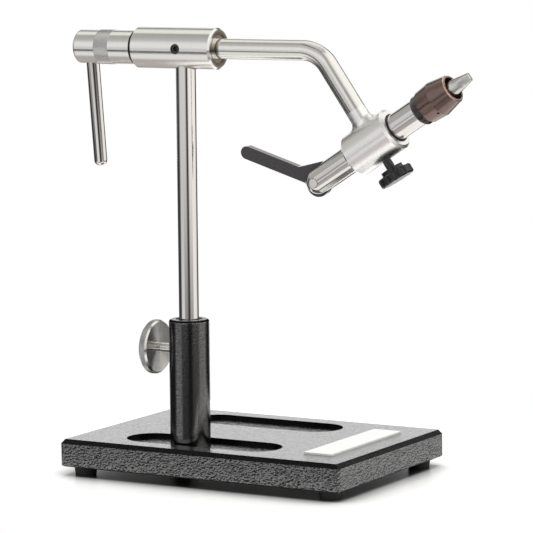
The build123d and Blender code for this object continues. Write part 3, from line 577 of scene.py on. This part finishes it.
def add_camera():
    """Camera at the photograph's view."""
    data = bpy.data.cameras.new("camera")
    data.lens = CAMERA_LENS
    data.sensor_fit = "HORIZONTAL"
    data.clip_end = 20
    camera = bpy.data.objects.new("camera", data)
    bpy.context.scene.collection.objects.link(camera)
    back = camera_direction()
    level_right = Z_AXIS.cross(back).normalized()
    level_up = back.cross(level_right)
    right = level_right * math.cos(CAMERA_ROLL) + level_up * math.sin(CAMERA_ROLL)
    turn = Matrix((right, back.cross(right), back)).transposed()
    camera.matrix_world = Matrix.Translation(CAMERA_TARGET + back * CAMERA_DISTANCE) @ turn.to_4x4()
    bpy.context.scene.camera = camera


def add_floor():
    """White sheet under the object that grows dark close to it: a painted shadow in its colour and glow."""
    mesh = bpy.data.meshes.new("floor")
    form = bmesh.new()
    bmesh.ops.create_circle(form, cap_ends=True, segments=FLOOR_SIDES, radius=1.0)
    for corner in form.verts:
        across = FLOOR_RIGHT if corner.co.x > 0 else FLOOR_LEFT
        reach = FLOOR_BACK if corner.co.y > 0 else FLOOR_FRONT
        corner.co.x = math.copysign(abs(corner.co.x) ** FLOOR_ROUNDING, corner.co.x) * across
        corner.co.y = math.copysign(abs(corner.co.y) ** FLOOR_ROUNDING, corner.co.y) * reach
    form.to_mesh(mesh)
    form.free()
    floor = bpy.data.objects.new("floor", mesh)
    floor.location.z = -FLOOR_DROP
    bpy.context.scene.collection.objects.link(floor)
    material, tree, shader = new_material("floor_white")
    # ambient occlusion darkens the colour and cuts the glow near the object: a painted shadow
    openness = add(tree, "ShaderNodeAmbientOcclusion", {"Distance": FLOOR_SHADE_REACH}, samples=12)
    stops = [(FLOOR_SHADOW_AT, FLOOR_SHADOW), (FLOOR_WHITE_AT, FLOOR_WHITE)]
    tree.links.new(colour_ramp(tree, openness.outputs["AO"], stops), shader.inputs["Base Color"])
    shader.inputs["Roughness"].default_value = 0.28
    shader.inputs["Specular IOR Level"].default_value = 0.20
    shader.inputs["Emission Color"].default_value = (1, 1, 1, 1)
    rays = add(tree, "ShaderNodeLightPath")
    seen = math_node(tree, "MAXIMUM", rays.outputs["Is Camera Ray"], rays.outputs["Is Glossy Ray"])
    seen = math_node(tree, "MAXIMUM", seen, rays.outputs["Is Transmission Ray"])
    glow = map_range(tree, openness.outputs["AO"], 0, FLOOR_GLOW, FLOOR_GLOW_AT, 1.0)
    tree.links.new(math_node(tree, "MULTIPLY", seen, glow), shader.inputs["Emission Strength"])
    mesh.materials.append(material)


def soft_span(tree, source, low, high, edge):
    """One between low and high, and nothing outside, with soft edges."""
    rise = map_range(tree, source, 0, 1, low - edge, low + edge)
    fall = map_range(tree, source, 1, 0, high - edge, high + edge)
    return math_node(tree, "MULTIPLY", rise, fall)


def add_world():
    """White behind the object, and round it a dim room whose soft panels light it and show in the metal."""
    world = bpy.data.worlds.new("studio")
    world.use_nodes = True
    bpy.context.scene.world = world
    tree = world.node_tree
    turned = add(tree, "ShaderNodeMapping", {"Rotation": (0, 0, math.pi / 2 - CAMERA_AZIMUTH)})
    tree.links.new(add(tree, "ShaderNodeTexCoord").outputs["Generated"], turned.inputs["Vector"])
    place = add(tree, "ShaderNodeSeparateXYZ")
    tree.links.new(turned.outputs["Vector"], place.inputs["Vector"])
    turn = math_node(tree, "ARCTAN2", place.outputs["Y"], place.outputs["X"])
    around = math_node(tree, "DEGREES", turn, 0.0)
    height = math_node(tree, "DEGREES", math_node(tree, "ARCSINE", place.outputs["Z"], 0.0), 0.0)
    light = None
    for sideways, upward, colour in PANELS:
        panel = add(tree, "ShaderNodeMix", data_type="RGBA", blend_type="LIGHTEN")
        panel.inputs["A"].default_value = (*ROOM, 1)
        panel.inputs["B"].default_value = (*colour, 1)
        if light is not None:
            tree.links.new(light, panel.inputs["A"])
        across = soft_span(tree, around, *sideways)
        inside = math_node(tree, "MULTIPLY", across, soft_span(tree, height, *upward))
        tree.links.new(inside, panel.inputs["Factor"])
        light = panel.outputs["Result"]
    rays = add(tree, "ShaderNodeLightPath")
    behind = map_range(tree, place.outputs["X"], 0, 1, *BACKDROP_EDGE)
    white = math_node(tree, "MULTIPLY", rays.outputs["Is Glossy Ray"], behind)
    white = math_node(tree, "MAXIMUM", white, rays.outputs["Is Camera Ray"])
    white = math_node(tree, "MAXIMUM", white, rays.outputs["Is Transmission Ray"])
    seen = add(tree, "ShaderNodeMix", data_type="RGBA")
    seen.inputs["B"].default_value = (1, 1, 1, 1)
    tree.links.new(white, seen.inputs["Factor"])
    tree.links.new(light, seen.inputs["A"])
    tree.links.new(seen.outputs["Result"], tree.nodes["Background"].inputs["Color"])


def add_top_light():
    """Soft light from above, for the pale level of upward faces and the shadow on the floor."""
    data = bpy.data.lights.new("top_light", "AREA")
    data.size = TOP_LIGHT_SIZE
    data.energy = TOP_LIGHT_LEVEL * math.pi * TOP_LIGHT_SIZE ** 2
    lamp = bpy.data.objects.new("top_light", data)
    lamp.location.z = TOP_LIGHT_HEIGHT
    lamp.visible_camera = False
    lamp.visible_glossy = False
    bpy.context.scene.collection.objects.link(lamp)


add_camera()
add_floor()
add_world()
add_top_light()
bpy.context.scene.view_settings.view_transform = "Standard"
